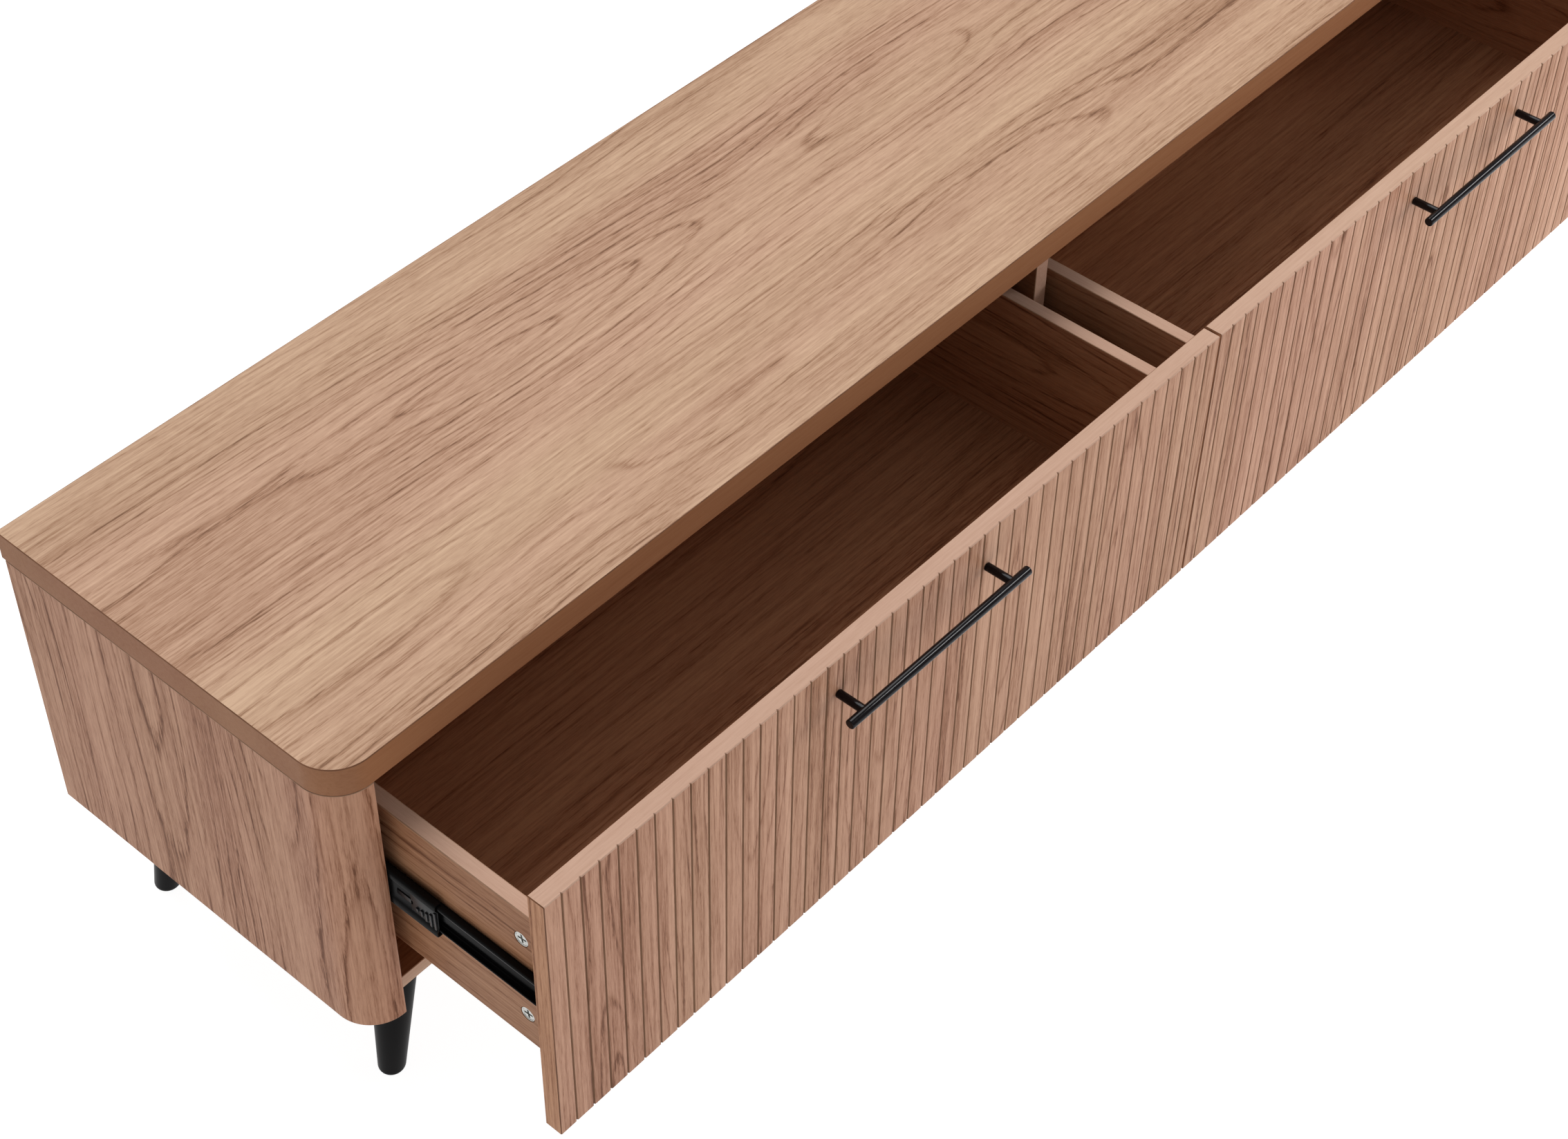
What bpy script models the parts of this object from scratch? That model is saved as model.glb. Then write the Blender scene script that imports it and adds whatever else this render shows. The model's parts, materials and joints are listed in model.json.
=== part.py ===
"""Low media cabinet with two fluted drawers on full-extension ball-bearing slides.

Metres, +Z up, X across the cabinet, the front faces -Y. The origin is on the floor, at the
middle of the box that holds the cabinet with both drawers drawn out to their rest position.
"""

import math

import bmesh
import bpy
from mathutils import Matrix, Vector

# ---- Case ---------------------------------------------------------------------------------
CABINET_WIDTH = 1.800
CABINET_DEPTH = 0.400
SIDE_HEIGHT = 0.298
SIDE_THICKNESS = 0.040
TOP_THICKNESS = 0.030
CORNER_RADIUS = 0.038        # both front corners, in plan
BOTTOM_THICKNESS = 0.015
DIVIDER_THICKNESS = 0.018
BACK_THICKNESS = 0.0037      # hardboard, nailed over the rear edges under the top's overhang
BACK_INSET = 0.010           # back panels stop this far short of the cabinet's outer sides
BACK_SEAM = 0.001            # between the two back panels, over the divider

# ---- Legs ---------------------------------------------------------------------------------
LEG_HEIGHT = 0.132           # floor to the underside of the case, mounting plate included
LEG_TOP_RADIUS = 0.022
LEG_FOOT_RADIUS = 0.0126
LEG_FOOT_ROUNDING = 0.0055
LEG_SPLAY_SIDEWAYS = math.radians(11.5)
LEG_SPLAY_FRONTWAYS = math.radians(4.4)
LEG_INSET_SIDE = 0.075       # centre of a leg's top end from the cabinet's outer side
LEG_INSET_FRONT = 0.054
LEG_INSET_REAR = 0.064
LEG_PLATE_THICKNESS = 0.0025
LEG_STUD_RADIUS = 0.004
LEG_STUD_LENGTH = 0.024

# ---- Drawers ------------------------------------------------------------------------------
DRAWER_OPEN = 0.178          # both drawers are drawn out this far at rest
FRONT_THICKNESS = 0.018
FRONT_HEAD_GAP = 0.003       # under the top panel
FRONT_DROP = 0.005           # the front hangs this far below the case
FRONT_SIDE_GAP = 0.002       # to the side panel, and between the two fronts
CLOSING_GAP = 0.002          # closed front to the edges of the divider and the bottom panel
FLUTE_PITCH = 0.020
FLUTE_WIDTH = 0.0032
FLUTE_DEPTH = 0.0018
BOARD_THICKNESS = 0.014      # sides and back of the drawer box
BOX_HEAD_ROOM = 0.054        # top panel to the box's upper edge
BOX_FOOT_ROOM = 0.074        # the case's underside to the box's lower edge
BOX_REAR_ROOM = 0.028        # closed box to the back panel
BOX_BACK_DROP = 0.012        # the box's back is this much lower than its sides
FLOOR_THICKNESS = 0.005
FLOOR_RISE = 0.011           # box's lower edge to the underside of its floor
FLOOR_HOUSING = 0.006        # how deep the floor sits in the boards around it
FLOOR_PLAY = 0.0005
SLIDE_GAP = 0.014            # between the drawer box and the case, for the slide
CAM_DIAMETER = 0.015
CAM_DEPTH = 0.0095
CAM_PLAY = 0.0003
CAM_SINK = 0.0004            # the cam's face below the board's face
CAM_SETBACK = 0.024          # from the drawer front's back face
CAM_EDGE_DISTANCE = 0.036    # from the board's upper and lower edges
CAM_SLOT_LENGTH = 0.0092     # each arm of the cross slot
CAM_SLOT_WIDTH = 0.0018
CAM_SLOT_DEPTH = 0.0022

# ---- Slides: three nested steel channels --------------------------------------------------
RAIL_SHEET = 0.0014
RAIL_HEIGHT = 0.046          # of the outer channel
OUTER_BALL_ROOM = 0.0016     # between the flanges of the outer and the middle channel
INNER_BALL_ROOM = 0.0031     # between the flanges of the middle and the inner channel
WEB_ROOM = 0.0013            # between the webs of the outer and the middle channel
OUTER_FLANGE_ROOM = 0.0042   # the outer channel's flange edges to the drawer's side
MID_FLANGE_ROOM = 0.0030     # the middle channel's flange edges to the drawer's side
INNER_FLANGE_ROOM = 0.0018   # the inner channel's flange edges to the middle web
SLIDE_LIFT = 0.003           # slide's axis above the middle of the drawer box's side
RAIL_SETBACK = 0.002         # outer and inner channels behind the boards in front of them
RAIL_REAR_ROOM = 0.003       # inner channel short of the drawer box's rear end
MID_RAIL_SETBACK = 0.018     # middle channel behind the outer one, drawer closed
MID_RAIL_SHARE = 0.5         # of the drawer's travel

# ---- Handles ------------------------------------------------------------------------------
HANDLE_POST_SPACING = 0.192
HANDLE_BAR_LENGTH = 0.232
HANDLE_BAR_RADIUS = 0.0045
HANDLE_POST_RADIUS = 0.0040
HANDLE_PROJECTION = 0.029    # drawer front to the bar's axis
HANDLE_DROP = 0.041          # the front's upper edge to the bar's axis
SCREW_RADIUS = 0.0020
SCREW_HEAD_RADIUS = 0.0042
SCREW_HEAD_HEIGHT = 0.0024
SCREW_ENGAGEMENT = 0.008     # into the post
SCREW_HOLE_PLAY = 0.0003

# ---- Shared clearances and edge finish ----------------------------------------------------
TOUCH = 0.0003               # between pieces that rest on or against each other
ARRIS = 0.0006               # broken edge of a board
CORNER_SEGMENTS = 14
FOOT_SEGMENTS = 4
ROUND_SIDES = 24

# ---- Derived levels and planes ------------------------------------------------------------
HALF_WIDTH = CABINET_WIDTH / 2
FOOTPRINT_DEPTH = CABINET_DEPTH + DRAWER_OPEN + HANDLE_PROJECTION + HANDLE_BAR_RADIUS
BACK_Y = FOOTPRINT_DEPTH / 2
FRONT_Y = BACK_Y - CABINET_DEPTH
BOARD_BACK_Y = BACK_Y - BACK_THICKNESS - TOUCH
RECESS_Y = FRONT_Y + FRONT_THICKNESS + CLOSING_GAP
CASE_BOTTOM_Z = LEG_HEIGHT
CASE_TOP_Z = CASE_BOTTOM_Z + SIDE_HEIGHT
OPENING_HALF_WIDTH = HALF_WIDTH - SIDE_THICKNESS
BAY_WIDTH = OPENING_HALF_WIDTH - DIVIDER_THICKNESS / 2

FRONT_WIDTH = OPENING_HALF_WIDTH - 1.5 * FRONT_SIDE_GAP
FRONT_HEIGHT = SIDE_HEIGHT - FRONT_HEAD_GAP + FRONT_DROP
FRONT_TOP_Z = CASE_TOP_Z - FRONT_HEAD_GAP
FRONT_CENTRE_X = (OPENING_HALF_WIDTH - FRONT_SIDE_GAP / 2) / 2
BOX_WIDTH = BAY_WIDTH - 2 * SLIDE_GAP
BOX_CENTRE_X = DIVIDER_THICKNESS / 2 + BAY_WIDTH / 2
BOX_TOP_Z = CASE_TOP_Z - BOX_HEAD_ROOM
BOX_BOTTOM_Z = CASE_BOTTOM_Z + BOX_FOOT_ROOM
BOX_DEPTH = BOARD_BACK_Y - FRONT_Y - FRONT_THICKNESS - BOX_REAR_ROOM
SLIDE_Z = (BOX_TOP_Z + BOX_BOTTOM_Z) / 2 + SLIDE_LIFT
FLOOR_Z = BOX_BOTTOM_Z + FLOOR_RISE
FLOOR_SLOT_HEIGHT = FLOOR_THICKNESS + 2 * FLOOR_PLAY
RAIL_LENGTH = BOX_DEPTH - RAIL_SETBACK - RAIL_REAR_ROOM
MID_RAIL_LENGTH = RAIL_LENGTH - MID_RAIL_SETBACK
MID_RAIL_HEIGHT = RAIL_HEIGHT - 2 * (RAIL_SHEET + OUTER_BALL_ROOM)
INNER_RAIL_HEIGHT = MID_RAIL_HEIGHT - 2 * (RAIL_SHEET + INNER_BALL_ROOM)
MID_WEB_OFFSET = TOUCH + RAIL_SHEET + WEB_ROOM
OUTER_RAIL_DEPTH = SLIDE_GAP - TOUCH - OUTER_FLANGE_ROOM
MID_RAIL_DEPTH = SLIDE_GAP - MID_WEB_OFFSET - MID_FLANGE_ROOM
INNER_RAIL_DEPTH = SLIDE_GAP - TOUCH - MID_WEB_OFFSET - RAIL_SHEET - INNER_FLANGE_ROOM


def clear_scene():
    for obj in list(bpy.data.objects):
        bpy.data.objects.remove(obj, do_unlink=True)


def make_collection(name):
    collection = bpy.data.collections.new(name)
    bpy.context.scene.collection.children.link(collection)
    return collection


def make_material(name, colour, roughness, metallic=0.0):
    material = bpy.data.materials.new(name)
    material.use_nodes = True
    shader = material.node_tree.nodes["Principled BSDF"]
    shader.inputs["Base Color"].default_value = (*colour, 1.0)
    shader.inputs["Roughness"].default_value = roughness
    shader.inputs["Metallic"].default_value = metallic
    return material


def make_finishes():
    """Colour, roughness and metallic value of each kind of piece."""
    return {
        "top_laminate": ((0.47, 0.30, 0.20), 0.45, 0.0),
        "side_laminate": ((0.43, 0.28, 0.19), 0.45, 0.0),
        "front_laminate": ((0.43, 0.27, 0.18), 0.45, 0.0),
        "inner_laminate": ((0.36, 0.22, 0.14), 0.50, 0.0),
        "back_board": ((0.34, 0.22, 0.15), 0.60, 0.0),
        "black_leg": ((0.015, 0.015, 0.016), 0.38, 0.0),
        "black_handle": ((0.020, 0.019, 0.020), 0.30, 0.8),
        "slide_steel": ((0.020, 0.020, 0.022), 0.35, 0.7),
        "zinc": ((0.62, 0.62, 0.60), 0.35, 1.0),
    }


def add_part(obj, finish, world, carrier=None):
    """Name the part's own material, place it in the world and hang it on its carrier."""
    obj.data.materials.append(make_material(f"{obj.name}_{finish}", *FINISHES[finish]))
    parts.objects.link(obj)
    obj.parent = carrier
    obj.location = Vector(world) - (carrier.location if carrier else Vector())
    return obj


def add_cutter(target, cutter, world, carrier=None):
    cutter.hide_render = True
    cutter.display_type = "WIRE"
    cutters.objects.link(cutter)
    cutter.parent = carrier
    cutter.location = Vector(world) - (carrier.location if carrier else Vector())
    boolean = target.modifiers.new(cutter.name, "BOOLEAN")
    boolean.operation = "DIFFERENCE"
    boolean.object = cutter


def block(name, size):
    """A rectangular board or cutter, centred on its own origin."""
    mesh = bpy.data.meshes.new(name)
    bm = bmesh.new()
    bmesh.ops.create_cube(bm, size=1.0)
    bmesh.ops.scale(bm, vec=size, verts=bm.verts)
    bm.to_mesh(mesh)
    bm.free()
    return bpy.data.objects.new(name, mesh)


def rod(name, radius, length, axis):
    """A round bar or cutter along one axis, centred on its own origin."""
    turn = {"X": Matrix.Rotation(math.pi / 2, 4, "Y"),
            "Y": Matrix.Rotation(math.pi / 2, 4, "X"),
            "Z": Matrix.Identity(4)}[axis]
    mesh = bpy.data.meshes.new(name)
    bm = bmesh.new()
    bmesh.ops.create_cone(bm, cap_ends=True, segments=ROUND_SIDES,
                          radius1=radius, radius2=radius, depth=length, matrix=turn)
    bm.to_mesh(mesh)
    bm.free()
    shade_round(mesh)
    return bpy.data.objects.new(name, mesh)


def shade_round(mesh):
    mesh.shade_smooth()
    mesh.set_sharp_from_angle(angle=math.radians(35))


def break_edges(obj):
    bevel = obj.modifiers.new("broken_edges", "BEVEL")
    bevel.width = ARRIS
    bevel.segments = 1
    bevel.limit_method = "ANGLE"
    bevel.angle_limit = math.radians(40)


def board(name, finish, low, high, carrier=None):
    """A flat board with broken edges between two corners given in the world."""
    low = Vector(low)
    high = Vector(high)
    obj = block(name, high - low)
    break_edges(obj)
    return add_part(obj, finish, (low + high) / 2, carrier)


def outline_mesh(name, points, thickness):
    """A closed outline in the XY plane, thickened evenly about z = 0, as one welded mesh."""
    curve = bpy.data.curves.new(name, "CURVE")
    curve.dimensions = "2D"
    curve.fill_mode = "BOTH"
    curve.extrude = thickness / 2
    spline = curve.splines.new("POLY")
    spline.points.add(len(points) - 1)
    for point, (x, y) in zip(spline.points, points):
        point.co = (x, y, 0.0, 1.0)
    spline.use_cyclic_u = True
    guide = bpy.data.objects.new(f"{name}_outline", curve)
    bpy.context.scene.collection.objects.link(guide)
    depsgraph = bpy.context.evaluated_depsgraph_get()
    mesh = bpy.data.meshes.new_from_object(guide.evaluated_get(depsgraph))
    mesh.name = name
    bpy.data.objects.remove(guide, do_unlink=True)
    bm = bmesh.new()
    bm.from_mesh(mesh)
    bmesh.ops.remove_doubles(bm, verts=bm.verts, dist=1e-6)
    bmesh.ops.recalc_face_normals(bm, faces=bm.faces)
    bm.to_mesh(mesh)
    bm.free()
    return mesh


def turned_mesh(name, profile):
    """A profile of (radius, z) points turned about Z; it runs down its outer side."""
    mesh = bpy.data.meshes.new(f"{name}_profile")
    edges = [(i, i + 1) for i in range(len(profile) - 1)]
    mesh.from_pydata([(radius, 0.0, z) for radius, z in profile], edges, [])
    guide = bpy.data.objects.new(f"{name}_profile", mesh)
    bpy.context.scene.collection.objects.link(guide)
    screw = guide.modifiers.new("turn", "SCREW")
    screw.steps = ROUND_SIDES
    screw.render_steps = ROUND_SIDES
    screw.use_merge_vertices = True
    screw.merge_threshold = 0.0001
    depsgraph = bpy.context.evaluated_depsgraph_get()
    turned = bpy.data.meshes.new_from_object(guide.evaluated_get(depsgraph))
    turned.name = name
    bpy.data.objects.remove(guide, do_unlink=True)
    shade_round(turned)
    return turned


def corner_arc(centre_x, centre_y, start_degrees):
    """Points of a quarter circle, anticlockwise from the start angle."""
    points = []
    for step in range(CORNER_SEGMENTS + 1):
        angle = math.radians(start_degrees + 90 * step / CORNER_SEGMENTS)
        points.append((centre_x + CORNER_RADIUS * math.cos(angle),
                       centre_y + CORNER_RADIUS * math.sin(angle)))
    return points


# ---- Case ---------------------------------------------------------------------------------
def build_top():
    arc_y = FRONT_Y + CORNER_RADIUS
    arc_x = HALF_WIDTH - CORNER_RADIUS
    points = [(HALF_WIDTH, BACK_Y), (-HALF_WIDTH, BACK_Y)]
    points += corner_arc(-arc_x, arc_y, 180)
    points += corner_arc(arc_x, arc_y, 270)
    mesh = outline_mesh("top_panel", points, TOP_THICKNESS)
    top = bpy.data.objects.new("top_panel", mesh)
    break_edges(top)
    add_part(top, "top_laminate", (0.0, 0.0, CASE_TOP_Z + TOP_THICKNESS / 2))


def build_side(name, hand):
    """A side panel whose front outer corner follows the top's; hand is -1 left, +1 right."""
    height = SIDE_HEIGHT - TOUCH
    arc = corner_arc(-HALF_WIDTH + CORNER_RADIUS, FRONT_Y + CORNER_RADIUS, 180)
    inner_x = -HALF_WIDTH + SIDE_THICKNESS
    points = [(inner_x, BOARD_BACK_Y), (-HALF_WIDTH, BOARD_BACK_Y)] + arc + [(inner_x, FRONT_Y)]
    if hand > 0:
        points = [(-x, y) for x, y in reversed(points)]
    side = bpy.data.objects.new(name, outline_mesh(name, points, height))
    break_edges(side)
    add_part(side, "side_laminate", (0.0, 0.0, CASE_BOTTOM_Z + height / 2))


def build_case():
    build_top()
    build_side("left_side_panel", -1)
    build_side("right_side_panel", 1)
    inner = OPENING_HALF_WIDTH - TOUCH
    bottom_top_z = CASE_BOTTOM_Z + BOTTOM_THICKNESS
    board("bottom_panel", "inner_laminate",
          (-inner, RECESS_Y, CASE_BOTTOM_Z), (inner, BOARD_BACK_Y, bottom_top_z))
    half = DIVIDER_THICKNESS / 2
    board("center_divider", "inner_laminate",
          (-half, RECESS_Y, bottom_top_z + TOUCH), (half, BOARD_BACK_Y, CASE_TOP_Z - TOUCH))
    outer = HALF_WIDTH - BACK_INSET
    seam = BACK_SEAM / 2
    for name, low_x, high_x in (("left_back_panel", -outer, -seam),
                                ("right_back_panel", seam, outer)):
        board(name, "back_board",
              (low_x, BACK_Y - BACK_THICKNESS, CASE_BOTTOM_Z), (high_x, BACK_Y, CASE_TOP_Z - TOUCH))


# ---- Legs ---------------------------------------------------------------------------------
def leg_profile(length):
    """Tapered leg hanging below z = 0, with a bore for the stud and a rounded foot."""
    bore_radius = LEG_STUD_RADIUS + TOUCH
    bore_z = -LEG_STUD_LENGTH - 3 * TOUCH
    points = [(0.0, bore_z), (bore_radius, bore_z), (bore_radius, 0.0), (LEG_TOP_RADIUS, 0.0)]
    for step in range(FOOT_SEGMENTS + 1):
        angle = math.pi / 2 * step / FOOT_SEGMENTS
        points.append((LEG_FOOT_RADIUS - LEG_FOOT_ROUNDING * (1 - math.cos(angle)),
                       -length + LEG_FOOT_ROUNDING * (1 - math.sin(angle))))
    points.append((0.0, -length))
    return points


def plate_profile():
    """Round mounting plate with its top at z = 0 and a stud below it."""
    underside = -LEG_PLATE_THICKNESS
    stud_end = underside - TOUCH - LEG_STUD_LENGTH
    return [(0.0, 0.0), (LEG_TOP_RADIUS, 0.0), (LEG_TOP_RADIUS, underside),
            (LEG_STUD_RADIUS, underside), (LEG_STUD_RADIUS, stud_end), (0.0, stud_end)]


def lean(mesh, sideways, frontways):
    """Lean a hanging piece outwards while its level faces stay level."""
    shear = Matrix.Identity(4)
    shear[0][2] = -math.tan(sideways)
    shear[1][2] = -math.tan(frontways)
    mesh.transform(shear)


def build_leg(name, x, y, sideways, frontways):
    """A leg and its plate; a positive lean carries the foot towards +X or +Y."""
    plate_z = CASE_BOTTOM_Z - TOUCH
    leg_z = plate_z - LEG_PLATE_THICKNESS - TOUCH
    plate_mesh = turned_mesh(f"{name}_plate", plate_profile())
    leg_mesh = turned_mesh(name, leg_profile(leg_z))
    for mesh in (plate_mesh, leg_mesh):
        lean(mesh, sideways, frontways)
    add_part(bpy.data.objects.new(f"{name}_plate", plate_mesh), "slide_steel", (x, y, plate_z))
    drop = plate_z - leg_z
    leg_place = (x + drop * math.tan(sideways), y + drop * math.tan(frontways), leg_z)
    add_part(bpy.data.objects.new(name, leg_mesh), "black_leg", leg_place)


def build_legs():
    leg_x = HALF_WIDTH - LEG_INSET_SIDE
    front_y = FRONT_Y + LEG_INSET_FRONT
    rear_y = BACK_Y - LEG_INSET_REAR
    for side_name, hand in (("left", -1), ("right", 1)):
        build_leg(f"front_{side_name}_leg", hand * leg_x, front_y,
                  hand * LEG_SPLAY_SIDEWAYS, -LEG_SPLAY_FRONTWAYS)
        build_leg(f"rear_{side_name}_leg", hand * leg_x, rear_y,
                  hand * LEG_SPLAY_SIDEWAYS, LEG_SPLAY_FRONTWAYS)
    build_leg("center_leg", 0.0, (FRONT_Y + BACK_Y) / 2, 0.0, 0.0)


# ---- Drawers ------------------------------------------------------------------------------
def carrier_at(name, x, y, z):
    """An empty on a slide's axis, which its moving pieces hang on."""
    carrier = bpy.data.objects.new(name, None)
    carrier.empty_display_size = 0.05
    parts.objects.link(carrier)
    carrier.location = (x, y, z)
    return carrier


def fluted_outline():
    """Plan of a drawer front, its face on y = 0 with V flutes at an even pitch."""
    half = FRONT_WIDTH / 2
    flutes = round(FRONT_WIDTH / FLUTE_PITCH) - 1
    points = [(half, FRONT_THICKNESS), (-half, FRONT_THICKNESS), (-half, 0.0)]
    for index in range(flutes):
        x = (index - (flutes - 1) / 2) * FLUTE_PITCH
        points += [(x - FLUTE_WIDTH / 2, 0.0), (x, FLUTE_DEPTH), (x + FLUTE_WIDTH / 2, 0.0)]
    points.append((half, 0.0))
    return points


def floor_span(hand):
    """Low and high X of a drawer's floor, edges sunk in the box's sides."""
    reach = BOX_WIDTH / 2 - BOARD_THICKNESS + FLOOR_HOUSING - FLOOR_PLAY
    return hand * BOX_CENTRE_X - reach, hand * BOX_CENTRE_X + reach


def build_front(prefix, hand, face_y, carrier):
    centre_x = hand * FRONT_CENTRE_X
    mesh = outline_mesh(f"{prefix}_front", fluted_outline(), FRONT_HEIGHT)
    front = bpy.data.objects.new(f"{prefix}_front", mesh)
    add_part(front, "front_laminate", (centre_x, face_y, FRONT_TOP_Z - FRONT_HEIGHT / 2), carrier)
    low_x, high_x = floor_span(hand)
    slot = block(f"{prefix}_front_floor_slot",
                 (high_x - low_x + 2 * FLOOR_PLAY, 2 * FLOOR_HOUSING, FLOOR_SLOT_HEIGHT))
    slot_centre = ((low_x + high_x) / 2, face_y + FRONT_THICKNESS, FLOOR_Z + FLOOR_THICKNESS / 2)
    add_cutter(front, slot, slot_centre, carrier)
    for post_x in handle_post_places(hand):
        hole = rod(f"{prefix}_screw_hole", SCREW_RADIUS + SCREW_HOLE_PLAY,
                   2 * FRONT_THICKNESS, "Y")
        place = (post_x, face_y + FRONT_THICKNESS / 2, FRONT_TOP_Z - HANDLE_DROP)
        add_cutter(front, hole, place, carrier)


def build_box_side(prefix, side_name, side_hand, drawer_hand, face_y, carrier):
    """A drawer side with its floor housing, two cam bores and the cams in them."""
    centre_x = drawer_hand * BOX_CENTRE_X
    outer_x = centre_x + side_hand * BOX_WIDTH / 2
    middle_x = outer_x - side_hand * BOARD_THICKNESS / 2
    inner_x = outer_x - side_hand * BOARD_THICKNESS
    low_y = face_y + FRONT_THICKNESS + TOUCH
    high_y = face_y + FRONT_THICKNESS + BOX_DEPTH
    name = f"{prefix}_{side_name}_side"
    side = board(name, "inner_laminate",
                 (middle_x - BOARD_THICKNESS / 2, low_y, BOX_BOTTOM_Z),
                 (middle_x + BOARD_THICKNESS / 2, high_y, BOX_TOP_Z), carrier)
    slot = block(f"{name}_floor_slot", (2 * FLOOR_HOUSING, 2 * BOX_DEPTH, FLOOR_SLOT_HEIGHT))
    add_cutter(side, slot, (inner_x, low_y, FLOOR_Z + FLOOR_THICKNESS / 2), carrier)
    cam_y = face_y + FRONT_THICKNESS + CAM_SETBACK
    for level, cam_z in (("upper", BOX_TOP_Z - CAM_EDGE_DISTANCE),
                         ("lower", BOX_BOTTOM_Z + CAM_EDGE_DISTANCE)):
        bore_depth = CAM_SINK + CAM_DEPTH + TOUCH
        bore = rod(f"{name}_{level}_cam_bore", CAM_DIAMETER / 2 + CAM_PLAY, 2 * bore_depth, "X")
        add_cutter(side, bore, (outer_x, cam_y, cam_z), carrier)
        build_cam(f"{name}_{level}_cam", outer_x, side_hand, cam_y, cam_z, carrier)


def build_cam(name, face_x, side_hand, y, z, carrier):
    """A round cam lock with a cross slot in its outer face."""
    cam = rod(name, CAM_DIAMETER / 2, CAM_DEPTH, "X")
    cam_face_x = face_x - side_hand * CAM_SINK
    add_part(cam, "zinc", (cam_face_x - side_hand * CAM_DEPTH / 2, y, z), carrier)
    depth = 2 * CAM_SLOT_DEPTH
    for direction, size in (("level", (depth, CAM_SLOT_LENGTH, CAM_SLOT_WIDTH)),
                            ("upright", (depth, CAM_SLOT_WIDTH, CAM_SLOT_LENGTH))):
        slot = block(f"{name}_{direction}_slot", size)
        add_cutter(cam, slot, (cam_face_x, y, z), carrier)


def build_box_back(prefix, hand, face_y, carrier):
    reach = BOX_WIDTH / 2 - BOARD_THICKNESS - TOUCH
    centre_x = hand * BOX_CENTRE_X
    rear_y = face_y + FRONT_THICKNESS + BOX_DEPTH
    low_y = rear_y - BOARD_THICKNESS
    name = f"{prefix}_back"
    back = board(name, "inner_laminate",
                 (centre_x - reach, low_y, BOX_BOTTOM_Z),
                 (centre_x + reach, rear_y, BOX_TOP_Z - BOX_BACK_DROP), carrier)
    slot = block(f"{name}_floor_slot", (2 * BOX_WIDTH, 2 * FLOOR_HOUSING, FLOOR_SLOT_HEIGHT))
    add_cutter(back, slot, (centre_x, low_y, FLOOR_Z + FLOOR_THICKNESS / 2), carrier)


def build_floor(prefix, hand, face_y, carrier):
    low_x, high_x = floor_span(hand)
    low_y = face_y + FRONT_THICKNESS - FLOOR_HOUSING + FLOOR_PLAY
    rear_face_y = face_y + FRONT_THICKNESS + BOX_DEPTH - BOARD_THICKNESS
    high_y = rear_face_y + FLOOR_HOUSING - FLOOR_PLAY
    size = Vector((high_x - low_x, high_y - low_y, FLOOR_THICKNESS))
    centre = ((low_x + high_x) / 2, (low_y + high_y) / 2, FLOOR_Z + FLOOR_THICKNESS / 2)
    add_part(block(f"{prefix}_floor", size), "inner_laminate", centre, carrier)


# ---- Handles ------------------------------------------------------------------------------
def handle_post_places(hand):
    centre_x = hand * FRONT_CENTRE_X
    return centre_x - HANDLE_POST_SPACING / 2, centre_x + HANDLE_POST_SPACING / 2


def screw_profile():
    """Pan-head screw pointing down, the underside of its head at z = 0."""
    dome_z = SCREW_HEAD_HEIGHT * 0.45
    dome_radius = SCREW_HEAD_RADIUS * 0.72
    tip_z = -FRONT_THICKNESS - SCREW_ENGAGEMENT
    return [(0.0, SCREW_HEAD_HEIGHT), (dome_radius, SCREW_HEAD_HEIGHT),
            (SCREW_HEAD_RADIUS, dome_z), (SCREW_HEAD_RADIUS, 0.0),
            (SCREW_RADIUS, 0.0), (SCREW_RADIUS, tip_z), (0.0, tip_z)]


def build_handle(prefix, hand, face_y, carrier):
    bar_y = face_y - HANDLE_PROJECTION
    bar_z = FRONT_TOP_Z - HANDLE_DROP
    bar = rod(f"{prefix}_handle_bar", HANDLE_BAR_RADIUS, HANDLE_BAR_LENGTH, "X")
    break_edges(bar)
    add_part(bar, "black_handle", (hand * FRONT_CENTRE_X, bar_y, bar_z), carrier)
    for side_name, post_x in zip(("left", "right"), handle_post_places(hand)):
        name = f"{prefix}_handle_{side_name}_post"
        length = HANDLE_PROJECTION - TOUCH
        post = rod(name, HANDLE_POST_RADIUS, length, "Y")
        add_part(post, "black_handle", (post_x, bar_y + length / 2, bar_z), carrier)
        saddle = rod(f"{name}_saddle", HANDLE_BAR_RADIUS + TOUCH, 4 * HANDLE_POST_RADIUS, "X")
        add_cutter(post, saddle, (post_x, bar_y, bar_z), carrier)
        hole_depth = SCREW_ENGAGEMENT + 4 * TOUCH
        hole = rod(f"{name}_hole", SCREW_RADIUS + SCREW_HOLE_PLAY, 2 * hole_depth, "Y")
        add_cutter(post, hole, (post_x, face_y, bar_z), carrier)
        build_screw(f"{prefix}_handle_{side_name}_screw", post_x, face_y, bar_z, carrier)


def build_screw(name, x, face_y, z, carrier):
    """A handle screw, its head on the back of the drawer front."""
    mesh = turned_mesh(name, screw_profile())
    mesh.transform(Matrix.Rotation(-math.pi / 2, 4, "X"))
    screw = bpy.data.objects.new(name, mesh)
    add_part(screw, "zinc", (x, face_y + FRONT_THICKNESS + TOUCH, z), carrier)


# ---- Slides -------------------------------------------------------------------------------
def channel_outline(web_x, depth, height, sheet, hand):
    """A C section; the web's back is on x = web_x and the flanges reach towards hand * X."""
    half = height / 2
    edge = web_x + hand * depth
    inside = web_x + hand * sheet
    points = [(web_x, -half), (edge, -half), (edge, -half + sheet), (inside, -half + sheet),
              (inside, half - sheet), (edge, half - sheet), (edge, half), (web_x, half)]
    return points if hand > 0 else list(reversed(points))


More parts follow.
